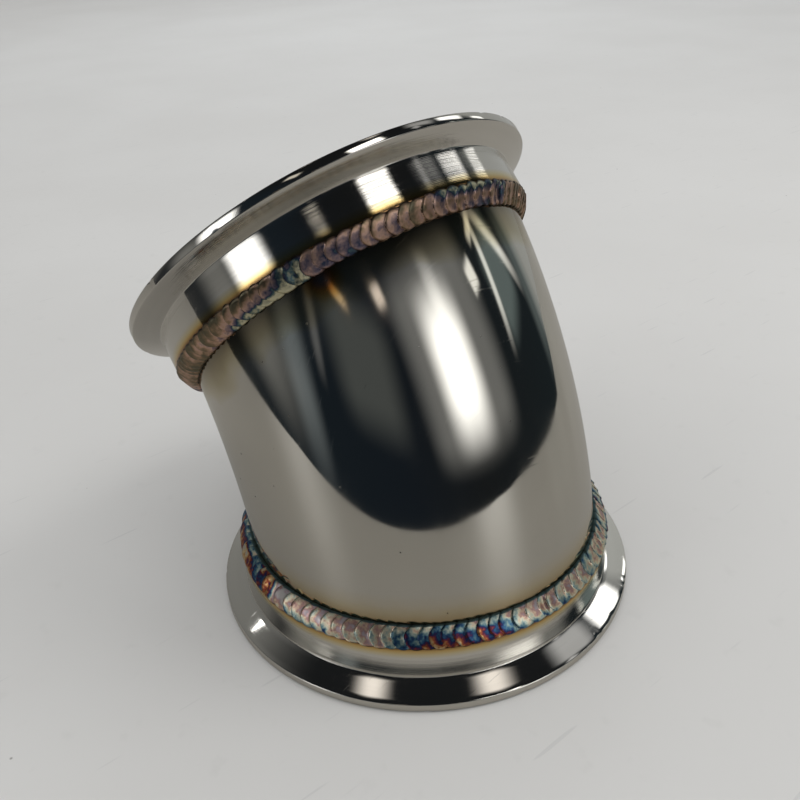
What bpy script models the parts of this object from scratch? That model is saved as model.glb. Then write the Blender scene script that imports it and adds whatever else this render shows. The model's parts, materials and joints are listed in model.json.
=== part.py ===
"""Stainless elbow with a V-band flange on each end, joined by fillet-welded seams.

Units are metres. The elbow stands on its lower sealing face, +Z runs along the lower flange's
axis, and it bends in the XZ plane, with its upper end leaning towards -X. The origin is the
middle of the base of its bounding box. Pieces are worked out in the lower flange's own frame,
which has the same axes and its origin at the middle of the lower sealing face.
"""
import math

import bmesh
import bpy
from mathutils import Vector

MM = 0.001

# Tube
TUBE_OD = 76.2 * MM
TUBE_WALL = 1.65 * MM
BEND_RADIUS = 116.6 * MM
TUBE_BEND = math.radians(24.4)

# Flanges, both alike. The neck stands out past the tube by a step, which the seam fills, and
# the cone stands out past the neck. The bore is a little wider than the tube's.
FLANGE_ANGLE = math.radians(43.6)
BORE_CLEARANCE = 0.1 * MM
NECK_STEP = 3.1 * MM
NECK_LENGTH = 11.5 * MM
CONE_WIDTH = 4.9 * MM
RIM_EDGE = 1.7 * MM
CONE_TOP = 3.8 * MM
NECK_FILLET = 0.5 * MM
EDGE_BREAK = 0.2 * MM

# Weld seams
WELD_HEIGHT = 3.0 * MM
WELD_CROWN = 0.75 * MM
WELD_TOE = 0.2 * MM
LOWER_RUN_STARTS = (270, 358, 88, 180)
UPPER_RUN_STARTS = (42, 140, 240, 337)

# Fit and fineness
GAP = 0.3 * MM
TURNED_STEPS = 72
TUBE_RINGS = 9
FILLET_STEPS = 3
CROWN_STEPS = 6
ROOT_STEPS = 2
RUN_STEP = math.radians(5)

TUBE_RADIUS = TUBE_OD / 2
FLANGE_BORE = TUBE_OD - 2 * TUBE_WALL + BORE_CLEARANCE
NECK_OD = TUBE_OD + 2 * NECK_STEP
NECK_RADIUS = NECK_OD / 2
FLANGE_OD = NECK_OD + 2 * CONE_WIDTH
RIM_REACH = FLANGE_OD / 2
CUT_HEIGHT = NECK_LENGTH + GAP
WELD_MIDDLE = CUT_HEIGHT + WELD_HEIGHT / 2
HALF_ANGLE = FLANGE_ANGLE / 2

# The tube's centre line meets each flange's axis half way up that flange's seam.
CHORD = 2 * BEND_RADIUS * math.sin(TUBE_BEND / 2)
CHORD_WAY = Vector((-math.sin(HALF_ANGLE), 0, math.cos(HALF_ANGLE)))
CENTRE_WAY = Vector((-math.cos(HALF_ANGLE), 0, -math.sin(HALF_ANGLE)))
UPPER_WAY = Vector((-math.sin(FLANGE_ANGLE), 0, math.cos(FLANGE_ANGLE)))
LOWER_CROSSING = Vector((0, 0, WELD_MIDDLE))
UPPER_CROSSING = LOWER_CROSSING + CHORD * CHORD_WAY
UPPER_FACE = UPPER_CROSSING + WELD_MIDDLE * UPPER_WAY
BEND_CENTRE = (
    (LOWER_CROSSING + UPPER_CROSSING) / 2
    + BEND_RADIUS * math.cos(TUBE_BEND / 2) * CENTRE_WAY
)
CUT_OFFSET = (UPPER_FACE - BEND_CENTRE).dot(UPPER_WAY) - CUT_HEIGHT

# The middle of the lower sealing face, as seen from the middle of the bounding box's base.
LEFT_EDGE = UPPER_FACE.x - RIM_REACH * math.cos(FLANGE_ANGLE)
LOWER_FACE = Vector((-(LEFT_EDGE + RIM_REACH) / 2, 0, 0))


def clear_scene():
    for old in list(bpy.data.objects):
        bpy.data.objects.remove(old, do_unlink=True)


def make_metal(name, color, roughness):
    metal = bpy.data.materials.new(name)
    metal.use_nodes = True
    shader = metal.node_tree.nodes["Principled BSDF"]
    shader.inputs["Base Color"].default_value = (*color, 1)
    shader.inputs["Metallic"].default_value = 1
    shader.inputs["Roughness"].default_value = roughness
    metal.diffuse_color = (*color, 1)
    return metal


def finish_mesh(bm, name):
    bmesh.ops.recalc_face_normals(bm, faces=bm.faces)
    mesh = bpy.data.meshes.new(name)
    bm.to_mesh(mesh)
    bm.free()
    mesh.shade_smooth()
    mesh.set_sharp_from_angle(angle=math.radians(28))
    return mesh


def add_object(name, mesh, metal, parent):
    obj = bpy.data.objects.new(name, mesh)
    bpy.context.collection.objects.link(obj)
    obj.parent = parent
    if not mesh.materials:
        mesh.materials.append(metal)
    return obj


def arc_points(centre, radius, first, last, steps):
    """Points on an arc in a section plane, as (distance from the axis, height)."""
    points = []
    for step in range(steps + 1):
        turn = first + (last - first) * step / steps
        points.append((centre[0] + radius * math.cos(turn), centre[1] + radius * math.sin(turn)))
    return points


# V-band flange: a thin rim, a cone that the clamp pulls on, and a thick neck.
def flange_profile():
    bore = FLANGE_BORE / 2
    rim = RIM_REACH
    slope = math.atan2(CONE_TOP - RIM_EDGE, rim - NECK_RADIUS)
    fillet_back = NECK_FILLET * math.tan((math.pi / 2 - slope) / 2)
    fillet_centre = (NECK_RADIUS + NECK_FILLET, CONE_TOP + fillet_back)
    fillet = arc_points(
        fillet_centre, NECK_FILLET, math.pi, 1.5 * math.pi - slope, FILLET_STEPS
    )
    return [
        (bore, EDGE_BREAK),
        (bore, NECK_LENGTH),
        (NECK_RADIUS - EDGE_BREAK, NECK_LENGTH),
        (NECK_RADIUS, NECK_LENGTH - EDGE_BREAK),
        *fillet,
        (rim - EDGE_BREAK, RIM_EDGE + EDGE_BREAK * math.tan(slope)),
        (rim, RIM_EDGE - EDGE_BREAK),
        (rim, EDGE_BREAK),
        (rim - EDGE_BREAK, 0),
        (bore + EDGE_BREAK, 0),
    ]


def build_flange_mesh():
    bm = bmesh.new()
    corners = [bm.verts.new((reach, 0, height)) for reach, height in flange_profile()]
    edges = [bm.edges.new((corners[i - 1], corners[i])) for i in range(len(corners))]
    bmesh.ops.spin(
        bm,
        geom=corners + edges,
        cent=(0, 0, 0),
        axis=(0, 0, 1),
        angle=math.tau,
        steps=TURNED_STEPS,
        use_merge=True,
    )
    return finish_mesh(bm, "vband_flange")


# Bent tube: an arc of a wider bend, cut square to each flange's axis.
def end_turn(ring_radius):
    """How far round the bend, from its middle, the end cut meets a line along the tube."""
    return HALF_ANGLE + math.asin(CUT_OFFSET / ring_radius)


def tube_point(tube_radius, around, along):
    """A point on the tube; along runs from -1 at the lower end to 1 at the upper one."""
    ring_radius = BEND_RADIUS + tube_radius * math.cos(around)
    turn = along * end_turn(ring_radius)
    in_plane = math.sin(turn) * CHORD_WAY - math.cos(turn) * CENTRE_WAY
    across = Vector((0, tube_radius * math.sin(around), 0))
    return BEND_CENTRE + ring_radius * in_plane + across


def tube_ring(bm, tube_radius, along):
    turns = [math.tau * step / TURNED_STEPS for step in range(TURNED_STEPS)]
    return [bm.verts.new(tube_point(tube_radius, around, along)) for around in turns]


def join_rings(bm, first, second):
    for i in range(len(first)):
        bm.faces.new((first[i - 1], first[i], second[i], second[i - 1]))


def build_tube_mesh():
    bm = bmesh.new()
    stations = [2 * ring / TUBE_RINGS - 1 for ring in range(TUBE_RINGS + 1)]
    outer = [tube_ring(bm, TUBE_RADIUS, along) for along in stations]
    inner = [tube_ring(bm, TUBE_RADIUS - TUBE_WALL, along) for along in stations]
    loop = outer + inner[::-1]
    for i in range(len(loop)):
        join_rings(bm, loop[i - 1], loop[i])
    return finish_mesh(bm, "bent_tube")


# Weld seams: fillets between the neck's end and the tube, in a flange's own frame.
def tube_reach(azimuth, height):
    """How far from the flange's axis the tube's outer surface is, found by halving."""
    near = TUBE_RADIUS / 2
    far = TUBE_RADIUS * 2
    for _ in range(40):
        reach = (near + far) / 2
        point = Vector((reach * math.cos(azimuth), reach * math.sin(azimuth), height))
        ring_radius = math.hypot(point.x - BEND_CENTRE.x, point.z - BEND_CENTRE.z)
        if math.hypot(ring_radius - BEND_RADIUS, point.y) < TUBE_RADIUS:
            near = reach
        else:
            far = reach
    return reach


def crown_points(outer_toe, inner_toe):
    """The seam's rounded face, from the toe on the neck to the toe on the tube."""
    run = Vector(inner_toe) - Vector(outer_toe)
    outward = Vector((run.y, -run.x)).normalized()
    points = []
    for step in range(CROWN_STEPS + 1):
        share = step / CROWN_STEPS
        bulge = WELD_CROWN * math.sin(math.pi * share)
        points.append(Vector(outer_toe) + share * run + bulge * outward)
    return points


def seam_section(azimuth):
    """The seam's closed section at one azimuth, as (distance from the axis, height)."""
    top = CUT_HEIGHT + WELD_HEIGHT
    back = []
    for step in range(ROOT_STEPS + 1):
        height = top + (CUT_HEIGHT - top) * step / ROOT_STEPS
        back.append((tube_reach(azimuth, height) + GAP, height))
    inner_toe = (back[0][0] + WELD_TOE, top)
    return [*crown_points((NECK_RADIUS, CUT_HEIGHT), inner_toe), *back]


def section_loop(bm, azimuth):
    loop = []
    for reach, height in seam_section(azimuth):
        point = (reach * math.cos(azimuth), reach * math.sin(azimuth), height)
        loop.append(bm.verts.new(point))
    return loop


def build_run_mesh(name, start, end):
    """One weld run between two azimuths, which leaves a gap to the next run."""
    trim = GAP / 2 / TUBE_RADIUS
    first = start + trim
    last = end - trim
    steps = max(2, round((last - first) / RUN_STEP))
    bm = bmesh.new()
    loops = [section_loop(bm, first + (last - first) * i / steps) for i in range(steps + 1)]
    for i in range(steps):
        join_rings(bm, loops[i], loops[i + 1])
    bm.faces.new(loops[0])
    bm.faces.new(loops[-1])
    return finish_mesh(bm, name)


def build_seam(side, starts, metal, parent):
    for index, start in enumerate(starts):
        end = starts[(index + 1) % len(starts)]
        turn = (end - start) % 360
        name = f"{side}_weld_run_{index + 1}"
        mesh = build_run_mesh(name, math.radians(start), math.radians(start + turn))
        add_object(name, mesh, metal, parent)


def add_end(name, place, turn, parent=None):
    """An empty at the middle of a sealing face; its +Z points into the elbow."""
    frame = bpy.data.objects.new(name, None)
    bpy.context.collection.objects.link(frame)
    frame.parent = parent
    frame.location = place
    frame.rotation_euler = turn
    return frame


def build():
    clear_scene()
    lower_end = add_end("lower_end", LOWER_FACE, (0, 0, 0))
    upper_end = add_end("upper_end", UPPER_FACE, (math.pi, -FLANGE_ANGLE, 0), lower_end)
    machined = make_metal("machined_stainless", (0.62, 0.61, 0.58), 0.18)
    polished = make_metal("polished_stainless", (0.60, 0.59, 0.56), 0.12)
    welded = make_metal("heat_tinted_weld", (0.36, 0.28, 0.27), 0.38)
    flange = build_flange_mesh()
    add_object("lower_vband_flange", flange, machined, lower_end)
    add_object("upper_vband_flange", flange, machined, upper_end)
    add_object("bent_tube", build_tube_mesh(), polished, lower_end)
    build_seam("lower", LOWER_RUN_STARTS, welded, lower_end)
    build_seam("upper", UPPER_RUN_STARTS, welded, upper_end)


build()
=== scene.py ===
"""Looks of the V-band elbow: turned flanges, polished tube and rippled TIG seams.

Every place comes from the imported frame. The driving sizes repeat those of the design, in metres.
"""
import json
import math
import random
from typing import NamedTuple

import bpy
import numpy as np
from mathutils import Matrix, Vector

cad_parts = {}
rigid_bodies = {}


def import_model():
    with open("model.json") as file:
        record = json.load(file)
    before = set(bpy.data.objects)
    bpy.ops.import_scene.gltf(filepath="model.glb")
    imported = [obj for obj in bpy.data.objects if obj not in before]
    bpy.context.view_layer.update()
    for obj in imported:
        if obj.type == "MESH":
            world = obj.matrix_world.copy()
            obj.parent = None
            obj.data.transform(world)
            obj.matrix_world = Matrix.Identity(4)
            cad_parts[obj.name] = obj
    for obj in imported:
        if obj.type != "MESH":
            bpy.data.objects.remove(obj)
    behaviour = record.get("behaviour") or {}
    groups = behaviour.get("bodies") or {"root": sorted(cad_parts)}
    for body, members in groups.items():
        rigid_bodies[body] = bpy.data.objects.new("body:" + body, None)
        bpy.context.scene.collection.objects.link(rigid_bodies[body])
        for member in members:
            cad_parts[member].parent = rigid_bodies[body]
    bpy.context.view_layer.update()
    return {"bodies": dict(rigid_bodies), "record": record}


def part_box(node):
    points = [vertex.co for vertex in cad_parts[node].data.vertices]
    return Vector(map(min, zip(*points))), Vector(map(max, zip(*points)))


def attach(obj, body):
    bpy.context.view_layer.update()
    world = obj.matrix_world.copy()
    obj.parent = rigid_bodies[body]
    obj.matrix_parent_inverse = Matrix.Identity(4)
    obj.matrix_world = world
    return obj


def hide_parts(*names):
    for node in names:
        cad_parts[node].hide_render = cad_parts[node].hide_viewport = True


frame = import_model()

MM = 0.001

# Sizes shared with the design
TUBE_RADIUS = 38.1 * MM
TUBE_WALL = 1.65 * MM
BEND_RADIUS = 116.6 * MM
TUBE_BEND = math.radians(24.4)
FLANGE_RADIUS = 46.1 * MM
BORE_RADIUS = 36.5 * MM
NECK_RADIUS = 41.2 * MM
NECK_LENGTH = 11.5 * MM
RIM_EDGE = 1.7 * MM
CONE_TOP = 3.8 * MM
ROOT_GAP = 0.3 * MM
WELD_HEIGHT = 3.0 * MM
CUT_HEIGHT = NECK_LENGTH + ROOT_GAP
WELD_MIDDLE = CUT_HEIGHT + WELD_HEIGHT / 2
SEAM_TOP = CUT_HEIGHT + WELD_HEIGHT

# Weld runs, as degrees round each flange's own axis
RUN_STARTS = {"lower": (270, 358, 88, 180), "upper": (42, 140, 240, 337)}

# Camera: its distance and direction from the lower sealing face, then how it is nudged from there
CAMERA_DISTANCE = 206.7 * MM
CAMERA_AZIMUTH = -38.3
CAMERA_ELEVATION = 40.64
CAMERA_TILT = 0.1738
CAMERA_PAN = 0.0277
CAMERA_ROLL = -0.0445
CAMERA_LENS = 38.8

BODY = next(iter(frame["bodies"]))


# ---------------------------------------------------------------- places from the frame
def middle_of_lower_face():
    low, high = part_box("lower_vband_flange")
    return Vector(((low[0] + high[0]) / 2, (low[1] + high[1]) / 2, low[2]))


def upper_face_way():
    for mount in frame["record"]["mounts"]:
        if mount["name"] == "upper_sealing_face":
            return Vector(mount["axis"]).normalized()


LOWER_FACE = middle_of_lower_face()
UPPER_WAY = upper_face_way()
FLANGE_ANGLE = math.atan2(-UPPER_WAY.x, UPPER_WAY.z)
HALF_ANGLE = FLANGE_ANGLE / 2
CHORD = 2 * BEND_RADIUS * math.sin(TUBE_BEND / 2)
CHORD_WAY = Vector((-math.sin(HALF_ANGLE), 0, math.cos(HALF_ANGLE)))
CENTRE_WAY = Vector((-math.cos(HALF_ANGLE), 0, -math.sin(HALF_ANGLE)))
LOWER_CROSSING = LOWER_FACE + Vector((0, 0, WELD_MIDDLE))
UPPER_CROSSING = LOWER_CROSSING + CHORD * CHORD_WAY
UPPER_FACE = UPPER_CROSSING + WELD_MIDDLE * UPPER_WAY
BEND_CENTRE = (
    (LOWER_CROSSING + UPPER_CROSSING) / 2
    + BEND_RADIUS * math.cos(TUBE_BEND / 2) * CENTRE_WAY
)
CUT_OFFSET = (UPPER_FACE - BEND_CENTRE).dot(UPPER_WAY) - CUT_HEIGHT
UPPER_TURN = Matrix.Rotation(-FLANGE_ANGLE, 4, "Y") @ Matrix.Rotation(math.pi, 4, "X")
END_FRAMES = {
    "lower": Matrix.Translation(LOWER_FACE),
    "upper": Matrix.Translation(UPPER_FACE) @ UPPER_TURN,
}


# ---------------------------------------------------------------- mesh helpers
def make_object(name, points, faces, material, matrix=None, smooth_angle=40):
    mesh = bpy.data.meshes.new(name)
    mesh.from_pydata([tuple(p) for p in points], [], faces)
    if matrix is not None:
        mesh.transform(matrix)
    mesh.validate()
    mesh.shade_smooth()
    mesh.set_sharp_from_angle(angle=math.radians(smooth_angle))
    mesh.materials.append(material)
    obj = bpy.data.objects.new(name, mesh)
    bpy.context.collection.objects.link(obj)
    return obj


def add_numbers(obj, name, values, kind="FLOAT"):
    """Stores one number, or one vector, per vertex for a material to read."""
    layer = obj.data.attributes.new(name, kind, "POINT")
    field = "value" if kind == "FLOAT" else "vector"
    layer.data.foreach_set(field, np.asarray(values, dtype=np.float32).ravel())


def grid_faces(rows, columns, close_rows, close_columns):
    """Quads over a grid of vertices, numbered row by row."""
    faces = []
    for row in range(rows if close_rows else rows - 1):
        after = (row + 1) % rows
        for column in range(columns if close_columns else columns - 1):
            beside = (column + 1) % columns
            faces.append((
                row * columns + column,
                after * columns + column,
                after * columns + beside,
                row * columns + beside,
            ))
    return faces


LONGEST_CORNER = 0.45


def rounded(profile, radius, steps=3):
    """A closed outline with each corner turned into a small arc, which takes under half a side."""
    corners = [Vector(p) for p in profile]
    result = []
    for i, corner in enumerate(corners):
        back = corners[i - 1] - corner
        ahead = corners[(i + 1) % len(corners)] - corner
        bend = back.angle(ahead)
        longest = LONGEST_CORNER * min(back.length, ahead.length)
        reach = min(radius / math.tan(bend / 2), longest)
        first = corner + reach * back.normalized()
        last = corner + reach * ahead.normalized()
        for step in range(steps + 1):
            share = step / steps
            result.append(
                (1 - share) ** 2 * first + 2 * share * (1 - share) * corner + share ** 2 * last
            )
    return result


# ---------------------------------------------------------------- node helpers
def node(tree, kind, links=None, **settings):
    """Adds a node; links maps its inputs to a socket or to a plain value."""
    made = tree.nodes.new(kind)
    for key, value in settings.items():
        setattr(made, key, value)
    for key, value in (links or {}).items():
        if isinstance(value, bpy.types.NodeSocket):
            tree.links.new(value, made.inputs[key])
        else:
            made.inputs[key].default_value = value
    return made


def math_node(tree, operation, *values):
    made = node(tree, "ShaderNodeMath", dict(enumerate(values)), operation=operation)
    return made.outputs[0]


def vector_node(tree, operation, *values):
    made = node(tree, "ShaderNodeVectorMath", dict(enumerate(values)), operation=operation)
    return made.outputs["Value" if operation in ("DOT_PRODUCT", "LENGTH") else "Vector"]


def spread(tree, value, low, high, to_low=0.0, to_high=1.0, smooth=True):
    kind = "SMOOTHSTEP" if smooth else "LINEAR"
    made = node(
        tree,
        "ShaderNodeMapRange",
        {0: value, 1: low, 2: high, 3: to_low, 4: to_high},
        interpolation_type=kind,
    )
    return made.outputs[0]


def ramp(tree, value, stops):
    made = node(tree, "ShaderNodeValToRGB", {0: value})
    elements = made.color_ramp.elements
    while len(elements) < len(stops):
        elements.new(0.5)
    for element, (place, color) in zip(elements, stops):
        element.position = place
        element.color = (*color, 1)
    return made.outputs[0]


def mix_color(tree, share, first, second, blend="MIX"):
    made = node(tree, "ShaderNodeMix", data_type="RGBA", blend_type=blend)
    for key, value in ((0, share), (6, first), (7, second)):
        if isinstance(value, bpy.types.NodeSocket):
            tree.links.new(value, made.inputs[key])
        else:
            made.inputs[key].default_value = value if key == 0 else (*value, 1)
    return made.outputs[2]


def noise(tree, vector, scale, detail=2.0, roughness=0.5):
    links = {"Vector": vector, "Scale": scale, "Detail": detail, "Roughness": roughness}
    return node(tree, "ShaderNodeTexNoise", links).outputs["Fac"]


def stretched(tree, vector, scale, turn=(0, 0, 0)):
    made = node(tree, "ShaderNodeMapping", {"Vector": vector, "Scale": scale, "Rotation": turn})
    return made.outputs[0]


def attribute(tree, name, output="Fac"):
    return node(tree, "ShaderNodeAttribute", attribute_name=name).outputs[output]


def new_material(name):
    material = bpy.data.materials.new(name)
    material.use_nodes = True
    return material, material.node_tree, material.node_tree.nodes["Principled BSDF"]


def add_bump(tree, shader, height, strength, distance, under=None):
    links = {"Height": height, "Strength": strength, "Distance": distance}
    if under is not None:
        links["Normal"] = under
    made = node(tree, "ShaderNodeBump", links)
    tree.links.new(made.outputs[0], shader.inputs["Normal"])
    return made.outputs[0]


# ---------------------------------------------------------------- materials
STEEL = (0.620, 0.600, 0.548)
DIRT = (0.05, 0.045, 0.04)

# Hairline marks: two directions with their scales, and how many times longer than wide they are
SCRATCH_WAYS = (((0.4, 0.2, 0.9), 700), ((1.3, 0.7, -0.5), 900))
SCRATCH_STRETCH = 6

# Share of a speck pattern's cells that hold no speck
EMPTY_CELLS = 0.72


def scratches(tree, place):
    """Sparse hairline marks in two directions, from 0 to 1."""
    marks = None
    for turn, scale in SCRATCH_WAYS:
        slow = scale / SCRATCH_STRETCH
        scaled = stretched(tree, place, (scale * SCRATCH_STRETCH, slow, slow), turn)
        lines = noise(tree, scaled, 1.0, 0.0)
        found = spread(tree, lines, 0.78, 0.84)
        marks = found if marks is None else math_node(tree, "MAXIMUM", marks, found)
    return marks


def specks(tree, place, scale, size):
    """Scattered round specks, from 0 to 1; size is their radius as a share of a cell."""
    cells = node(tree, "ShaderNodeTexVoronoi", {"Vector": place, "Scale": scale})
    near = spread(tree, cells.outputs["Distance"], size, size * 0.5)
    parts = node(tree, "ShaderNodeSeparateColor", {0: cells.outputs["Color"]})
    chosen = math_node(tree, "GREATER_THAN", parts.outputs[0], EMPTY_CELLS)
    return math_node(tree, "MULTIPLY", near, chosen)


def height_over_face(tree, place, middle, way):
    """Distance from a sealing face's plane, into the elbow."""
    offset = vector_node(tree, "SUBTRACT", place, tuple(middle))
    return vector_node(tree, "DOT_PRODUCT", offset, tuple(way))


# Heights over each sealing face between which the tube is tinted; the upper tint's reach varies
LOWER_TINT_START = SEAM_TOP - 0.5 * MM
LOWER_TINT_END = SEAM_TOP + 6.5 * MM
UPPER_TINT_START = SEAM_TOP - 0.6 * MM
UPPER_TINT_SHORTEST = 6.5 * MM
UPPER_TINT_LONGEST = 11 * MM

# Depths below the neck's end between which the neck is tinted
NECK_TINT_START = -0.2 * MM
NECK_TINT_END = 2.6 * MM

# Heat tints from a seam's toe outwards, as shares of how far each one reaches
LOWER_TUBE_TINT = [
    (0.00, (0.18, 0.25, 0.26)),
    (0.06, (0.20, 0.22, 0.19)),
    (0.10, (0.42, 0.28, 0.17)),
    (0.20, (0.80, 0.66, 0.44)),
    (0.42, (0.93, 0.84, 0.66)),
    (0.66, (0.99, 0.95, 0.87)),
    (1.00, (1.0, 1.0, 1.0)),
]
UPPER_TUBE_TINT = [
    (0.00, (0.14, 0.11, 0.10)),
    (0.12, (0.34, 0.30, 0.24)),
    (0.30, (0.52, 0.46, 0.34)),
    (0.55, (0.72, 0.66, 0.50)),
    (0.80, (0.92, 0.88, 0.76)),
    (1.00, (1.0, 1.0, 1.0)),
]
NECK_TINT = [
    (0.00, (0.22, 0.13, 0.09)),
    (0.14, (0.50, 0.30, 0.14)),
    (0.34, (0.92, 0.66, 0.28)),
    (0.60, (0.99, 0.88, 0.58)),
    (1.00, (1.0, 1.0, 1.0)),
]

# A round stain on the tube, beside a restart of the upper seam
STAIN_TINT = [
    (0.00, (0.30, 0.42, 0.80)),
    (0.30, (0.46, 0.34, 0.42)),
    (0.50, (0.86, 0.50, 0.22)),
    (0.75, (0.98, 0.80, 0.52)),
    (1.00, (1.0, 1.0, 1.0)),
]
STAIN_REACH = 4.2 * MM
STAIN_TURN = math.radians(38.5)
STAIN_PLACE = END_FRAMES["upper"] @ Vector((
    TUBE_RADIUS * math.cos(STAIN_TURN),
    TUBE_RADIUS * math.sin(STAIN_TURN),
    SEAM_TOP + 1.0 * MM,
))


def polished_tube_material():
    """Mirror-polished steel with heat tints, a stain, dirt specks and hairline marks."""
    material, tree, shader = new_material("polished_tube")
    place = node(tree, "ShaderNodeTexCoord").outputs["Object"]
    wobble = noise(tree, place, 260, 3)
    broad = noise(tree, place, 60, 2)
    drift = math_node(tree, "MULTIPLY", math_node(tree, "SUBTRACT", wobble, 0.5), 1.2 * MM)
    lower = height_over_face(tree, place, LOWER_FACE, (0, 0, 1))
    upper = height_over_face(tree, place, UPPER_FACE, -UPPER_WAY)
    lower = math_node(tree, "ADD", lower, drift)
    upper = math_node(tree, "ADD", upper, drift)
    lower_share = spread(tree, lower, LOWER_TINT_START, LOWER_TINT_END, smooth=False)
    reach = spread(tree, broad, 0.35, 0.65, UPPER_TINT_SHORTEST, UPPER_TINT_LONGEST)
    upper_depth = math_node(tree, "SUBTRACT", upper, UPPER_TINT_START)
    upper_share = math_node(tree, "DIVIDE", upper_depth, reach)
    tint = mix_color(
        tree,
        1.0,
        ramp(tree, lower_share, LOWER_TUBE_TINT),
        ramp(tree, upper_share, UPPER_TUBE_TINT),
        "MULTIPLY",
    )
    base = mix_color(tree, 1.0, STEEL, tint, "MULTIPLY")
    offset = vector_node(tree, "SUBTRACT", place, tuple(STAIN_PLACE))
    away = math_node(tree, "ADD", vector_node(tree, "LENGTH", offset), drift)
    stain = ramp(tree, spread(tree, away, 0, STAIN_REACH, smooth=False), STAIN_TINT)
    base = mix_color(tree, 1.0, base, stain, "MULTIPLY")
    dirt = specks(tree, place, 300, 0.075)
    base = mix_color(tree, math_node(tree, "MULTIPLY", dirt, 0.75), base, DIRT)
    tree.links.new(base, shader.inputs["Base Color"])
    shader.inputs["Metallic"].default_value = 1.0
    marks = scratches(tree, place)
    rubbed = noise(tree, stretched(tree, place, (90, 90, 25)), 1.0, 3)
    smear = spread(tree, rubbed, 0.35, 0.75, 0.045, 0.105)
    rough = math_node(tree, "ADD", smear, math_node(tree, "MULTIPLY", marks, 0.05))
    rough = math_node(tree, "ADD", rough, math_node(tree, "MULTIPLY", dirt, 0.4))
    tree.links.new(rough, shader.inputs["Roughness"])
    waves = noise(tree, stretched(tree, place, (28, 28, 9)), 1.0, 1)
    under = add_bump(tree, shader, waves, 0.5, 0.10 * MM)
    add_bump(tree, shader, marks, 0.10, 0.01 * MM, under)
    return material


def turned_flange_material(name, bright, dull):
    """Turned steel whose tone drifts between two, with lathe lines and a heat tint on the neck. Each
    flange gets its own pair of tones, lighter or darker as painted light and shade.
    """
    material, tree, shader = new_material(name)
    turned = attribute(tree, "turned", "Vector")
    depth = attribute(tree, "depth")
    satin = attribute(tree, "satin")
    lathe = noise(tree, stretched(tree, turned, (1.2, 1.2, 8000)), 1.0, 2)
    coarse = noise(tree, stretched(tree, turned, (3, 3, 1500)), 1.0, 2)
    patchy = noise(tree, stretched(tree, turned, (5, 5, 150)), 1.0, 3)
    drift = math_node(tree, "MULTIPLY", math_node(tree, "SUBTRACT", patchy, 0.5), 1.8 * MM)
    depth = math_node(tree, "ADD", depth, drift)
    share = spread(tree, depth, NECK_TINT_START, NECK_TINT_END, smooth=False)
    tone = mix_color(tree, spread(tree, patchy, 0.3, 0.7), bright, dull)
    base = mix_color(tree, 1.0, tone, ramp(tree, share, NECK_TINT), "MULTIPLY")
    tree.links.new(base, shader.inputs["Base Color"])
    shader.inputs["Metallic"].default_value = 1.0
    fine = spread(tree, coarse, 0.3, 0.7, 0.035, 0.075)
    rough = math_node(tree, "ADD", fine, math_node(tree, "MULTIPLY", satin, 0.18))
    tree.links.new(rough, shader.inputs["Roughness"])
    grooves = math_node(tree, "MULTIPLY", lathe, attribute(tree, "grooved"))
    under = add_bump(tree, shader, grooves, 1.0, 0.02 * MM)
    place = node(tree, "ShaderNodeTexCoord").outputs["Object"]
    add_bump(tree, shader, scratches(tree, place), 0.12, 0.01 * MM, under)
    return material


# Tints of hot stainless steel in the order that the oxide grows
BRIGHT_TINTS = [
    (0.00, (0.60, 0.56, 0.52)),
    (0.10, (0.78, 0.62, 0.36)),
    (0.18, (0.62, 0.36, 0.16)),
    (0.25, (0.40, 0.11, 0.05)),
    (0.32, (0.17, 0.04, 0.07)),
    (0.39, (0.03, 0.04, 0.13)),
    (0.47, (0.05, 0.14, 0.27)),
    (0.55, (0.22, 0.38, 0.42)),
    (0.63, (0.60, 0.70, 0.62)),
    (0.71, (0.97, 0.89, 0.68)),
    (0.78, (0.84, 0.62, 0.46)),
    (0.85, (0.62, 0.36, 0.33)),
    (0.93, (0.60, 0.50, 0.54)),
    (1.00, (0.66, 0.62, 0.60)),
]
DULL_TINTS = [
    (0.00, (0.20, 0.18, 0.12)),
    (0.14, (0.17, 0.15, 0.10)),
    (0.26, (0.30, 0.22, 0.14)),
    (0.38, (0.58, 0.38, 0.27)),
    (0.48, (0.68, 0.46, 0.37)),
    (0.58, (0.38, 0.27, 0.27)),
    (0.68, (0.19, 0.16, 0.21)),
    (0.77, (0.04, 0.06, 0.12)),
    (0.86, (0.12, 0.19, 0.20)),
    (0.93, (0.44, 0.44, 0.32)),
    (1.00, (0.80, 0.76, 0.54)),
]


# Near-black painted shade laid into a seam's creases: the grooves between coins and the toe on the
# neck
CREASE_SHADE = (0.035, 0.028, 0.025)


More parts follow.
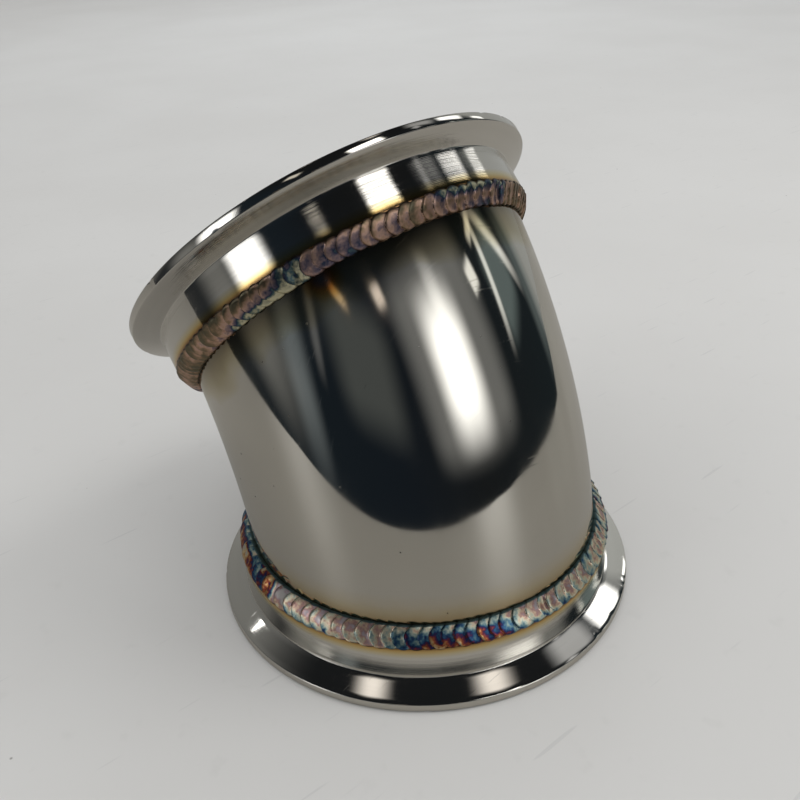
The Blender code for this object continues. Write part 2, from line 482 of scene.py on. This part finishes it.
def weld_material(name, tints, edge_start, edge_shade_color):
    """Rippled weld metal, tinted by how hot each coin ran, with painted shade in the grooves between
    coins and at the toe on the neck, and a dark edge of painted shade on the tube side.
    """
    material, tree, shader = new_material(name)
    across = attribute(tree, "across")
    ripple = attribute(tree, "ripple")
    place = node(tree, "ShaderNodeTexCoord").outputs["Object"]
    blots = noise(tree, place, 620, 2, 0.5)
    fine = noise(tree, place, 2000, 2, 0.5)
    # On part of the lower seam these numbers also hold painted light and shade
    oxide = attribute(tree, "oxide")
    oxide = math_node(tree, "ADD", oxide, spread(tree, blots, 0.3, 0.7, -0.12, 0.12, smooth=False))
    oxide = math_node(tree, "ADD", oxide, spread(tree, fine, 0.3, 0.7, -0.04, 0.04, smooth=False))
    color = ramp(tree, oxide, tints)
    # Painted shade along the tube-side edge of the bead, teal like the oxide on the lower seam,
    # near-black on the upper
    edge_wave = spread(tree, blots, 0.3, 0.7, -0.02, 0.02, smooth=False)
    edge = spread(tree, math_node(tree, "ADD", across, edge_wave), edge_start, edge_start + 0.05)
    color = mix_color(tree, edge, color, edge_shade_color)
    # Painted shade in the creases: the grooves between coins and the toe on the neck side
    coin_start = spread(tree, ripple, 0.13, 0.02)
    coin_end = spread(tree, ripple, 0.93, 1.0)
    groove = math_node(tree, "MAXIMUM", coin_start, coin_end)
    toe = spread(tree, across, 0.08, 0.02)
    dark = math_node(tree, "MAXIMUM", groove, toe)
    dark = math_node(tree, "MULTIPLY", dark, spread(tree, blots, 0.3, 0.6, 0.70, 0.96))
    color = mix_color(tree, dark, color, CREASE_SHADE)
    tree.links.new(color, shader.inputs["Base Color"])
    shader.inputs["Metallic"].default_value = 1.0
    rough = spread(tree, fine, 0.3, 0.7, 0.36, 0.50)
    rough = math_node(tree, "ADD", rough, math_node(tree, "MULTIPLY", edge, 0.15))
    tree.links.new(rough, shader.inputs["Roughness"])
    under = add_bump(tree, shader, blots, 0.3, 0.06 * MM)
    add_bump(tree, shader, fine, 0.15, 0.02 * MM, under)
    return material


def floor_material(name, tint, gloss, roughness):
    """A pale table top with faint clouds, grain, specks and scuffs."""
    material, tree, shader = new_material(name)
    place = node(tree, "ShaderNodeTexCoord").outputs["Object"]
    cloud = noise(tree, place, 9, 4)
    grain = noise(tree, place, 160, 3)
    tone = mix_color(tree, spread(tree, cloud, 0.3, 0.7), (0.582, 0.574, 0.560), (0.602, 0.595, 0.582))
    tone = mix_color(tree, spread(tree, grain, 0.62, 0.75, 0, 0.25), tone, (0.52, 0.515, 0.50))
    dots = specks(tree, place, 70, 0.035)
    tone = mix_color(tree, math_node(tree, "MULTIPLY", dots, 0.8), tone, (0.16, 0.15, 0.14))
    lines = noise(tree, stretched(tree, place, (900, 60, 60), (0, 0, 0.5)), 1.0, 0.0)
    tone = mix_color(tree, spread(tree, lines, 0.78, 0.86, 0, 0.30), tone, (0.42, 0.42, 0.42))
    # For the mirrored table this tint is painted shade
    tone = mix_color(tree, 1.0, tone, tint, "MULTIPLY")
    tree.links.new(tone, shader.inputs["Base Color"])
    shader.inputs["Roughness"].default_value = roughness
    shader.inputs["Specular IOR Level"].default_value = gloss
    add_bump(tree, shader, grain, 0.15, 0.2 * MM)
    return material


# ---------------------------------------------------------------- flanges
FLANGE_STEPS = 540
CORNER_RADIUS = 0.22 * MM
LONGEST_SIDE = 1.2 * MM

# How deep the lathe lines are on each surface, as a share of the deepest
MAIN_GROOVES = 0.8
CONE_GROOVES = {"lower": 0.04, "upper": 0.75}
RIM_GROOVES = 0.03

# Nicks in the rim: how many, how wide and deep, how far they spread up the rim, and their falloff
DENT_COUNT = 16
DENT_WIDTHS = (0.4 * MM, 1.3 * MM)
DENT_DEPTHS = (0.05 * MM, 0.20 * MM)
DENT_SPREAD = 0.5 * MM
DENT_FALLOFF = 2
DENT_ZONE = 1 * MM

# A depth below the neck's end that is past its heat tint
COLD_DEPTH = 9 * MM

# Radius of the cylinder that the lathe pattern is unrolled from
PATTERN_RADIUS = 0.04


def flange_outline():
    """Section of a flange in its own frame, as (distance from the axis, height over the face)."""
    return [
        (BORE_RADIUS, 0),
        (BORE_RADIUS, NECK_LENGTH),
        (NECK_RADIUS, NECK_LENGTH),
        (NECK_RADIUS, CONE_TOP),
        (FLANGE_RADIUS, RIM_EDGE),
        (FLANGE_RADIUS, 0),
    ]


def refined(outline, longest):
    """The outline with long sides split, so that patterns and nicks have points to use."""
    result = []
    for i, point in enumerate(outline):
        after = outline[(i + 1) % len(outline)]
        count = max(1, math.ceil((after - point).length / longest))
        result += [point.lerp(after, step / count) for step in range(count)]
    return result


def rim_dents(seed):
    """Each nick's azimuth, height, width and depth."""
    chance = random.Random(seed)
    dents = []
    for _ in range(DENT_COUNT):
        dents.append((
            chance.uniform(0, math.tau),
            chance.choice((0.0, RIM_EDGE)),
            chance.uniform(*DENT_WIDTHS),
            chance.uniform(*DENT_DEPTHS),
        ))
    return dents


def dent_depth(dents, around, height):
    deep = 0
    for place, level, width, most in dents:
        gap = (around - place + math.pi) % math.tau - math.pi
        away = (gap * FLANGE_RADIUS / width) ** 2 + ((height - level) / DENT_SPREAD) ** 2
        deep += most * math.exp(-away * DENT_FALLOFF)
    return deep


def on_face_or_bore(reach, height):
    return height < 0.05 * MM or reach < BORE_RADIUS + 0.1 * MM


def lathe_depth(side, reach, height):
    """How deep the lathe lines are at one point of a flange's section."""
    on_neck = CONE_TOP < height < NECK_LENGTH and reach > NECK_RADIUS - 0.1 * MM
    on_cone = RIM_EDGE + 0.1 * MM < height < CONE_TOP and reach > NECK_RADIUS + 0.2 * MM
    if on_face_or_bore(reach, height) or on_neck:
        return MAIN_GROOVES
    return CONE_GROOVES[side] if on_cone else RIM_GROOVES


def build_flange(name, side, material, seed):
    outline = refined(rounded(flange_outline(), CORNER_RADIUS), LONGEST_SIDE)
    dents = rim_dents(seed)
    points = []
    turned = []
    depth = []
    satin = []
    grooved = []
    travel = 0
    for i, (reach, height) in enumerate(outline):
        travel += (outline[i] - outline[i - 1]).length
        outside_neck = reach > BORE_RADIUS + 1 * MM and height > CONE_TOP
        near_rim = reach > FLANGE_RADIUS - DENT_ZONE
        satin += [1.0 if on_face_or_bore(reach, height) else 0.0] * FLANGE_STEPS
        grooved += [lathe_depth(side, reach, height)] * FLANGE_STEPS
        depth += [NECK_LENGTH - height if outside_neck else COLD_DEPTH] * FLANGE_STEPS
        for step in range(FLANGE_STEPS):
            around = math.tau * step / FLANGE_STEPS
            far = reach - (dent_depth(dents, around, height) if near_rim else 0)
            ahead, aside = math.cos(around), math.sin(around)
            points.append((far * ahead, far * aside, height))
            turned.append((PATTERN_RADIUS * ahead, PATTERN_RADIUS * aside, travel))
    faces = grid_faces(len(outline), FLANGE_STEPS, True, True)
    obj = make_object(name, points, faces, material, END_FRAMES[side], 45)
    add_numbers(obj, "turned", turned, "FLOAT_VECTOR")
    add_numbers(obj, "depth", depth)
    add_numbers(obj, "satin", satin)
    add_numbers(obj, "grooved", grooved)
    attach(obj, BODY)
    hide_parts(f"{side}_vband_flange")


# ---------------------------------------------------------------- tube
TUBE_STEPS = 240
TUBE_RINGS = 72


def tube_point(radius, around, along):
    ring_radius = BEND_RADIUS + radius * math.cos(around)
    turn = along * (HALF_ANGLE + math.asin(CUT_OFFSET / ring_radius))
    in_plane = math.sin(turn) * CHORD_WAY - math.cos(turn) * CENTRE_WAY
    return BEND_CENTRE + ring_radius * in_plane + Vector((0, radius * math.sin(around), 0))


def build_tube(material):
    points = []
    stations = [2 * ring / TUBE_RINGS - 1 for ring in range(TUBE_RINGS + 1)]
    rows = [(TUBE_RADIUS, along) for along in stations]
    rows += [(TUBE_RADIUS - TUBE_WALL, along) for along in stations[::-1]]
    for radius, along in rows:
        for step in range(TUBE_STEPS):
            points.append(tube_point(radius, math.tau * step / TUBE_STEPS, along))
    faces = grid_faces(len(rows), TUBE_STEPS, True, True)
    faces = [face[::-1] for face in faces]
    obj = make_object("bent_tube_polished", points, faces, material)
    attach(obj, BODY)
    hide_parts("bent_tube")


# ---------------------------------------------------------------- weld seams
# A coin is one ripple of a seam, laid partly over the coin before it.
COIN_PITCH = {"lower": 2.55 * MM, "upper": 2.25 * MM}
COIN_CURVE = 1.35 * MM
COIN_STEP = 0.15 * MM
COIN_RISE = 0.44 * MM
COIN_LOBE = 0.50 * MM
COIN_SPACINGS = (0.78, 1.24)
COIN_SIZES = (0.75, 1.25)
TOE_SHIFT = 0.14 * MM
HEAT_SHIFT = 0.10
HEAT_OVER_COIN = 0.20
LEAN = 0.35 * MM

# How much the toe on the tube follows the coins, where the toe on the neck follows them fully
TUBE_LOBE = {"lower": 0.15, "upper": 0.75}
CROWN = 0.60 * MM
ACROSS = 22

# How far the seam's edges are sunk into the neck and the tube
NECK_SINK = (0.05 * MM, 0.2 * MM)
TUBE_SINK = 0.06 * MM

# Each run laps the last one by a share of a pitch, starts thick and ends in a crater.
LAP = 0.4
START_SWELL = 0.30
START_LENGTH = 1.5 * MM
FADE_IN = 0.7 * MM
FADE_OUT = 1.0 * MM
CRATER_DEPTH = 0.45 * MM
CRATER_PLACE = 1.6 * MM
CRATER_REACH = 1.1 * MM

# The way each seam was welded round its own axis
TRAVEL = {"lower": 1, "upper": -1}

# How hot each stretch ran, as a place on the seam's tint ramp from 0 to 1: degrees round the
# seam, then the neck side, the middle and the tube side. On the lower seam from 282 to 309
# degrees the tints also hold painted shade, darker where the bead mirrors the bright floor,
# and painted light, lighter where it mirrors the dark room.
HEAT_AND_SHADE_ZONES = {
    "lower": [
        (0, 0.62, 0.70, 0.76),
        (8, 0.66, 0.73, 0.76),
        (18, 0.62, 0.73, 0.70),
        (30, 0.56, 0.76, 0.70),
        (44, 0.40, 0.74, 0.66),
        (60, 0.30, 0.70, 0.60),
        (87, 0.34, 0.46, 0.30),
        (89, 0.84, 0.80, 0.74),
        (130, 0.62, 0.74, 0.80),
        (150, 0.40, 0.50, 0.66),
        (179, 0.26, 0.40, 0.60),
        (181, 0.80, 0.74, 0.86),
        (215, 0.70, 0.76, 0.64),
        (240, 0.20, 0.26, 0.56),
        (250, 0.22, 0.16, 0.60),
        (257, 0.30, 0.48, 0.64),
        (262, 0.30, 0.38, 0.20),
        (267, 0.24, 0.22, 0.18),
        (269.5, 0.18, 0.26, 0.12),
        (271, 0.76, 0.97, 0.93),
        (277, 0.68, 0.86, 0.80),
        # From here to 309 degrees the tints are painted shade, then painted light, to even out what
        # the bead mirrors
        (282, 0.56, 0.82, 0.78),
        (290, 0.60, 0.80, 0.76),
        (298, 0.68, 0.73, 0.76),
        (303, 0.70, 0.72, 0.74),
        (309, 0.69, 0.72, 0.74),
        (311, 0.58, 0.56, 0.66),
        (315, 0.44, 0.46, 0.64),
        (319, 0.26, 0.42, 0.62),
        (330, 0.23, 0.40, 0.60),
        (341, 0.23, 0.41, 0.60),
        (345, 0.44, 0.58, 0.72),
        (352, 0.47, 0.82, 0.77),
        (356, 0.52, 0.78, 0.72),
    ],
    "upper": [
        (0, 0.88, 0.42, 0.48),
        (11, 0.26, 0.44, 0.40),
        (20, 0.22, 0.48, 0.54),
        (32, 0.42, 0.58, 0.62),
        (41, 0.56, 0.66, 0.56),
        (43, 0.80, 0.76, 0.86),
        (47, 0.78, 0.82, 0.95),
        (52, 0.16, 0.60, 1.00),
        (62, 0.16, 0.48, 0.98),
        (70, 0.18, 0.34, 0.60),
        (85, 0.14, 0.30, 0.20),
        (100, 0.18, 0.34, 0.24),
        (139, 0.70, 0.64, 0.84),
        (141, 0.40, 0.56, 0.30),
        (200, 0.26, 0.44, 0.60),
        (239, 0.80, 0.62, 0.74),
        (241, 0.44, 0.36, 0.30),
        (300, 0.30, 0.42, 0.26),
        (325, 0.24, 0.34, 0.34),
        (334, 0.50, 0.44, 0.40),
        (338, 0.82, 0.76, 0.62),
        (344, 0.88, 0.38, 0.72),
        (352, 0.90, 0.40, 0.50),
    ],
}


# Where across the seam each side's heat gives way to the middle's, and over what share of it
NECK_HEAT_END = 0.12
NECK_HEAT_FADE = 0.34
TUBE_HEAT_START = 0.54
TUBE_HEAT_FADE = 0.22


class Coin(NamedTuple):
    start: float
    size: float
    neck_toe: float
    tube_toe: float
    heat: float
    lean: float

    def edge(self, share):
        """Where along the run the coin begins, at one place across it."""
        return self.start + self.lean * (share - 0.5)


def tube_reach(azimuth, height):
    """How far from the lower flange's axis the tube's surface is, found by halving."""
    near = TUBE_RADIUS / 2
    far = TUBE_RADIUS * 2
    for _ in range(30):
        reach = (near + far) / 2
        x = LOWER_FACE.x + reach * math.cos(azimuth) - BEND_CENTRE.x
        y = reach * math.sin(azimuth)
        z = LOWER_FACE.z + height - BEND_CENTRE.z
        if math.hypot(math.hypot(x, z) - BEND_RADIUS, y) < TUBE_RADIUS:
            near = reach
        else:
            far = reach
    return reach


def coin_plan(length, pitch, chance):
    """The coins of one run, from before its start to past its end."""
    coins = []
    start = -2 * pitch
    while start < length + 3 * pitch:
        coins.append(Coin(
            start,
            chance.uniform(*COIN_SIZES),
            chance.uniform(-TOE_SHIFT, TOE_SHIFT),
            chance.uniform(-TOE_SHIFT, TOE_SHIFT),
            chance.uniform(-HEAT_SHIFT, HEAT_SHIFT),
            chance.uniform(-LEAN, LEAN),
        ))
        start += pitch * chance.uniform(*COIN_SPACINGS)
    return coins


def coin_rise(share):
    """Height over one coin, from the edge where it laps the last one to the next one's edge."""
    lift = min(1.0, share / 0.22)
    return math.sqrt(lift * (2 - lift)) * (1 - 0.75 * share ** 1.5)


def run_fade(travel, length, lap):
    """How much of the crown is left near either end of a run, from 0 to 1."""
    to_end = length + 0.5 * lap - travel
    fade = min(1.0, (travel + lap) / FADE_IN, to_end / FADE_OUT)
    return math.sqrt(max(0.0, fade))


def crater_depth(travel, length, lap):
    to_end = length + 0.5 * lap - travel
    return CRATER_DEPTH * math.exp(-((to_end - CRATER_PLACE) / CRATER_REACH) ** 2)


def zone_heat_and_shade(side, azimuth, across):
    """Heat between the two nearest zones, and between neck side, middle and tube side, with the
    painted light and shade that some zones hold.
    """
    zones = HEAT_AND_SHADE_ZONES[side]
    degrees = math.degrees(azimuth) % 360
    before = max((z for z in zones if z[0] <= degrees), default=zones[0])
    after = min((z for z in zones if z[0] > degrees), default=(360, *zones[0][1:]))
    share = (degrees - before[0]) / (after[0] - before[0])
    neck, middle, tube = (b + (a - b) * share for b, a in zip(before[1:], after[1:]))
    if across < 0.5:
        return neck + (middle - neck) * min(1.0, max(0.0, across - NECK_HEAT_END) / NECK_HEAT_FADE)
    return middle + (tube - middle) * min(1.0, max(0.0, across - TUBE_HEAT_START) / TUBE_HEAT_FADE)


def coin_at(coins, place, share):
    """The coin at one place on the seam, and how far over that coin the place is."""
    k = max(n for n, coin in enumerate(coins) if coin.edge(share) <= place)
    begin = coins[k].edge(share)
    part = (place - begin) / (coins[k + 1].edge(share) - begin)
    return coins[k], min(1.0, max(0.0, part))


def build_run(side, index, material, seed):
    """One weld run, as closed sections set round the flange's axis."""
    starts = RUN_STARTS[side]
    turn = math.radians((starts[(index + 1) % len(starts)] - starts[index]) % 360)
    way = TRAVEL[side]
    first = math.radians(starts[index]) + (turn if way < 0 else 0)
    middle_reach = (NECK_RADIUS + TUBE_RADIUS) / 2
    length = turn * middle_reach
    pitch = COIN_PITCH[side]
    coins = coin_plan(length, pitch, random.Random(seed))
    steps = math.ceil(length / COIN_STEP)
    lap = LAP * pitch
    points = []
    numbers = {"across": [], "ripple": [], "oxide": []}
    for i in range(steps + 1):
        travel = -lap + (length + 1.5 * lap) * i / steps
        azimuth = first + way * travel / middle_reach
        swell = 1 + START_SWELL * math.exp(-(travel / START_LENGTH) ** 2)
        fade = run_fade(travel, length, lap)
        crater = crater_depth(travel, length, lap)
        inner = tube_reach(azimuth, SEAM_TOP)
        section = []
        for j in range(ACROSS + 1):
            share = j / ACROSS
            arch = 1 - (2 * share - 1) ** 2
            coin, part = coin_at(coins, travel + COIN_CURVE * arch, share)
            lobe = COIN_LOBE * (math.sin(math.pi * part ** 0.8) ** 0.6 - 0.4)
            neck_height = NECK_LENGTH - NECK_SINK[1] + coin.neck_toe - lobe
            tube_height = SEAM_TOP + TUBE_LOBE[side] * (coin.tube_toe + lobe)
            neck_toe = Vector((NECK_RADIUS - NECK_SINK[0], neck_height))
            tube_toe = Vector((inner - TUBE_SINK, tube_height))
            run = tube_toe - neck_toe
            outward = Vector((run.y, -run.x)).normalized()
            dome = CROWN * swell * coin.size ** 0.4 * math.sin(math.pi * share) ** 0.6
            rise = COIN_RISE * coin.size * coin_rise(part) * min(1.0, arch * 4)
            bulge = (dome + rise) * fade - crater * arch ** 2
            section.append(neck_toe + share * run + bulge * outward)
            coin_azimuth = azimuth - way * 0.4 * part * pitch / middle_reach
            heat = zone_heat_and_shade(side, coin_azimuth, share) + coin.heat
            numbers["across"].append(share)
            numbers["ripple"].append(part)
            numbers["oxide"].append(heat + (part - 0.5) * HEAT_OVER_COIN)
        back = [
            Vector((inner - 0.5 * MM, SEAM_TOP - 0.4 * MM)),
            Vector((tube_reach(azimuth, CUT_HEIGHT) - 0.5 * MM, CUT_HEIGHT - 0.1 * MM)),
            Vector((NECK_RADIUS - 0.7 * MM, NECK_LENGTH - 0.3 * MM)),
        ]
        for values in numbers.values():
            values += [0.5] * len(back)
        for reach, height in section + back:
            points.append((reach * math.cos(azimuth), reach * math.sin(azimuth), height))
    columns = len(section) + len(back)
    faces = grid_faces(steps + 1, columns, False, True)
    last = steps * columns
    faces.append(tuple(range(columns)))
    faces.append(tuple(last + n for n in reversed(range(columns))))
    if way < 0:
        faces = [face[::-1] for face in faces]
    name = f"{side}_weld_bead_{index + 1}"
    obj = make_object(name, points, faces, material, END_FRAMES[side], 50)
    for key, values in numbers.items():
        add_numbers(obj, key, values)
    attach(obj, BODY)
    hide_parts(f"{side}_weld_run_{index + 1}")


# ---------------------------------------------------------------- room, table and camera
def look(azimuth, elevation):
    azimuth = math.radians(azimuth)
    elevation = math.radians(elevation)
    flat = math.cos(elevation)
    return Vector((flat * math.cos(azimuth), flat * math.sin(azimuth), math.sin(elevation)))


# Soft-edged panes of light around the table: azimuth, elevation, width, height and turn in
# degrees, edge softness as a share, and colour with strength.
PANES = [
    ("window", 10, 18, 20.5, 23, 0, 0.75, (1.0, 1.0, 1.0), 2.3),
    ("window_top", 14, 33, 7, 10, -10, 0.8, (1.0, 1.0, 1.0), 0.35),
    ("window_haze", 12, 20, 54, 38, 0, 0.30, (1.0, 1.0, 0.98), 0.19),
    ("high_window", 11, 61, 17, 9, 0, 0.20, (1.0, 0.98, 0.95), 3.2),
    ("left_window", -95, 23, 17, 20, -40, 0.45, (1.0, 1.0, 1.0), 2.6),
    ("left_haze", -104, 4, 30, 18, -30, 0.8, (1.0, 0.98, 0.92), 0.20),
    ("left_strip", -82, 5, 10, 30, 0, 0.8, (0.85, 0.95, 1.0), 0.17),
    ("side_window", 82, 38, 7, 13, 30, 0.35, (1.0, 1.0, 1.0), 2.2),
    ("side_haze", 68, 52, 9, 13, 25, 0.5, (1.0, 1.0, 1.0), 0.40),
    ("shelf_spot", 45, 25, 6, 5, 0, 0.35, (1.0, 0.99, 0.94), 1.2),
    ("shelf_rim", 61, 27, 9, 2, 0, 0.5, (1.0, 0.99, 0.94), 1.0),
    ("shelf_left", 58, 19, 3.0, 18, -25, 0.7, (1.0, 1.0, 0.96), 0.9),
    ("shelf_right", 72.5, 17, 3.0, 20, 29, 0.7, (1.0, 1.0, 0.96), 1.0),
    ("shelf_inside", 65, 15, 18, 15, 0, 0.4, (0.8, 1.0, 1.0), 0.16),
    ("far_wall", 85, 3, 10, 24, 0, 0.6, (0.85, 1.0, 1.0), 0.11),
    ("slit_low", 92, 22, 3, 8, 30, 0.4, (1.0, 1.0, 1.0), 1.6),
    ("slit_high", 56, 50, 4, 4, 0, 0.5, (1.0, 1.0, 1.0), 0.45),
    ("lamp_left", -118, 75, 7.5, 6, 0, 0.85, (1.0, 0.93, 0.86), 1.0),
    ("lamp_right", 42, 74, 7.5, 7, 0, 0.85, (1.0, 0.93, 0.86), 1.0),
    ("lamp_small", -158.5, 41.5, 2.2, 2.4, 0, 0.1, (1.0, 1.0, 1.0), 6.0),
    ("lamp_pink", -25, 33.5, 5, 4, 20, 0.5, (1.0, 0.86, 0.74), 1.1),
    ("lamp_amber", -50, 29, 6, 2.5, -15, 0.5, (1.0, 0.72, 0.42), 0.7),
    ("dim_wall", -45, 17, 28, 24, 0, 0.5, (0.95, 1.0, 0.92), 0.075),
    ("dim_strip", -68, 17, 3, 16, -10, 0.7, (1.0, 1.0, 1.0), 0.14),
    ("cabinet", -60, 55, 8, 5, 0, 0.4, (1.0, 0.93, 0.82), 0.8),
]

# The walls' colour round the room, as shares of a turn from the -X direction
ROOM_TONES = [
    (0.000, (0.20, 0.20, 0.19)),
    (0.110, (0.15, 0.15, 0.145)),
    (0.150, (0.030, 0.032, 0.034)),
    (0.230, (0.012, 0.018, 0.024)),
    (0.400, (0.010, 0.014, 0.020)),
    (0.520, (0.012, 0.014, 0.016)),
    (0.735, (0.014, 0.020, 0.024)),
    (0.757, (0.38, 0.39, 0.38)),
    (0.850, (0.42, 0.43, 0.42)),
    (1.000, (0.20, 0.20, 0.19)),
]

# What the camera sees past the floor, and the even light that falls on matt surfaces
BACKDROP = (0.60, 0.61, 0.625)
AMBIENT = (0.765, 0.77, 0.78)

# Cosine under which a direction is too far from a pane's own for the pane to show in it
LEAST_DEPTH = 0.02

# Elevations between which the walls give way to the ceiling, and the ceiling's colour
CEILING_FROM = 38
CEILING_TO = 62
CEILING = (0.010, 0.011, 0.012)


def pane_color(tree, way, pane, under):
    """The room's colour with one pane of light added to it."""
    _, azimuth, elevation, width, height, turn, soft, color, strength = pane
    ahead = look(azimuth, elevation)
    side = ahead.cross(Vector((0, 0, 1))).normalized()
    above = side.cross(ahead)
    roll = Matrix.Rotation(math.radians(turn), 3, ahead)
    side = roll @ side
    above = roll @ above
    depth = vector_node(tree, "DOT_PRODUCT", way, tuple(ahead))
    mask = spread(tree, depth, LEAST_DEPTH, 0.12)
    depth = math_node(tree, "MAXIMUM", depth, LEAST_DEPTH)
    for axis, size in ((side, width), (above, height)):
        edge = math.tan(math.radians(size / 2))
        offset = vector_node(tree, "DOT_PRODUCT", way, tuple(axis))
        offset = math_node(tree, "ABSOLUTE", math_node(tree, "DIVIDE", offset, depth))
        near = spread(tree, offset, edge * (1 + soft), edge * (1 - soft))
        mask = math_node(tree, "MULTIPLY", mask, near)
    bright = tuple(strength * part for part in color)
    return mix_color(tree, mask, under, bright, "ADD")


def build_room():
    """The world: panes for the metal to mirror, even light for the floor, and a plain backdrop."""
    world = bpy.data.worlds.new("room")
    bpy.context.scene.world = world
    world.use_nodes = True
    tree = world.node_tree
    background = tree.nodes["Background"]
    way = node(tree, "ShaderNodeTexCoord").outputs["Generated"]
    parts = node(tree, "ShaderNodeSeparateXYZ", {0: way})
    azimuth = math_node(tree, "ARCTAN2", parts.outputs[1], parts.outputs[0])
    around = spread(tree, azimuth, -math.pi, math.pi, smooth=False)
    tone = ramp(tree, around, ROOM_TONES)
    ceiling_from = math.sin(math.radians(CEILING_FROM))
    ceiling_to = math.sin(math.radians(CEILING_TO))
    ceiling = spread(tree, parts.outputs[2], ceiling_from, ceiling_to)
    tone = mix_color(tree, ceiling, tone, CEILING)
    for pane in PANES:
        tone = pane_color(tree, way, pane, tone)
    path = node(tree, "ShaderNodeLightPath")
    tone = mix_color(tree, path.outputs["Is Diffuse Ray"], tone, AMBIENT)
    tone = mix_color(tree, path.outputs["Is Camera Ray"], tone, BACKDROP)
    tree.links.new(tone, background.inputs["Color"])
    background.inputs["Strength"].default_value = 1.0


# Half the floor's width, and how far the floor and the mirrored table lie under the elbow
FLOOR_REACH = 3.0
FLOOR_DROP = 0.3 * MM
TABLE_DROP = 0.1 * MM

# Corners of the table top that the metal mirrors, in metres
TABLE_OUTLINE = [
    (-0.60, -0.62),
    (-0.13, -0.26),
    (0.00, -0.225),
    (0.10, -0.145),
    (0.18, -0.090),
    (0.245, -0.03),
    (0.29, 0.05),
    (0.29, 0.14),
    (0.22, 0.21),
    (0.08, 0.24),
    (0.04, 0.60),
    (-1.60, 1.60),
    (-2.00, -0.40),
]


def flat_piece(name, corners, height, material):
    points = [(x, y, height) for x, y in corners]
    obj = make_object(name, points, [tuple(range(len(corners)))], material)
    return obj


def build_table():
    """A wide sheet for the camera, and a shorter table top that only reflections see, tinted darker
    than the floor as painted shade from the elbow.
    """
    height = LOWER_FACE.z
    sheet = [(x * FLOOR_REACH, y * FLOOR_REACH) for x, y in ((-1, -1), (1, -1), (1, 1), (-1, 1))]
    pale = floor_material("pale_floor", (1.0, 1.0, 0.99), 0.25, 0.75)
    floor = flat_piece("floor", sheet, height - FLOOR_DROP, pale)
    floor.visible_glossy = False
    # The mirrored table's dark tint is painted shade: the elbow's shadow on the table round it
    table = floor_material("mirrored_table_painted_shade", (0.57, 0.55, 0.51), 0.5, 0.38)
    top = flat_piece("reflected_table", TABLE_OUTLINE, height - TABLE_DROP, table)
    top.visible_camera = False
    top.visible_diffuse = False
    top.visible_shadow = False


def add_area_light(name, place, size, power, color=(1.0, 1.0, 1.0), facing=None):
    """A soft round lamp that faces the elbow, unless it's given another way to face."""
    away = place if facing is None else -facing
    light = bpy.data.lights.new(name, "AREA")
    light.shape = "DISK"
    light.size = size
    light.energy = power
    light.color = color
    obj = bpy.data.objects.new(name, light)
    bpy.context.collection.objects.link(obj)
    obj.location = place
    obj.rotation_euler = away.to_track_quat("Z", "Y").to_euler()
    obj.visible_glossy = False
    obj.visible_camera = False


def build_camera():
    data = bpy.data.cameras.new("camera")
    data.sensor_width = 36
    data.lens = CAMERA_LENS
    data.clip_start = 0.01
    camera = bpy.data.objects.new("camera", data)
    bpy.context.collection.objects.link(camera)
    away = look(CAMERA_AZIMUTH, CAMERA_ELEVATION)
    aimed = (-away).to_track_quat("-Z", "Y").to_matrix()
    nudge = (
        Matrix.Rotation(CAMERA_ROLL, 3, "Z")
        @ Matrix.Rotation(CAMERA_PAN, 3, "Y")
        @ Matrix.Rotation(CAMERA_TILT, 3, "X")
    )
    place = Matrix.Translation(LOWER_FACE + CAMERA_DISTANCE * away)
    camera.matrix_world = place @ (aimed @ nudge).to_4x4()
    bpy.context.scene.camera = camera


bpy.context.scene.view_settings.view_transform = "Standard"
build_camera()
build_room()
build_table()
add_area_light("right_lamp", 0.75 * look(52, 46), 0.42, 1.35)
add_area_light("left_lamp", 0.85 * look(-115, 48), 0.45, 0.35)
down = Vector((0, 0, -1))
add_area_light("back_lamp", Vector((-0.75, 0.59, 0.70)), 0.50, 1.6, (0.88, 0.94, 1.0), down)

polished = polished_tube_material()
# Both flanges are one steel: the lower tones are painted light on its rim, and the upper tones are
# painted shade where its cone mirrors the shaded table under the elbow
lower_metal_painted_light = turned_flange_material("lower_turned_metal_painted_light", (0.87, 0.85, 0.80), (0.79, 0.77, 0.72))
upper_metal_painted_shade = turned_flange_material("upper_turned_metal_painted_shade", (0.67, 0.65, 0.605), (0.61, 0.59, 0.545))
# The last colour of each weld is the painted shade along its tube-side edge
lower_weld = weld_material("lower_weld_metal", BRIGHT_TINTS, 0.88, (0.13, 0.22, 0.24))
upper_weld = weld_material("upper_weld_metal", DULL_TINTS, 0.95, (0.10, 0.10, 0.08))
build_flange("lower_flange_turned", "lower", lower_metal_painted_light, 11)
build_flange("upper_flange_turned", "upper", upper_metal_painted_shade, 12)
build_tube(polished)
for run in range(4):
    build_run("lower", run, lower_weld, 100 + run)
    build_run("upper", run, upper_weld, 200 + run)
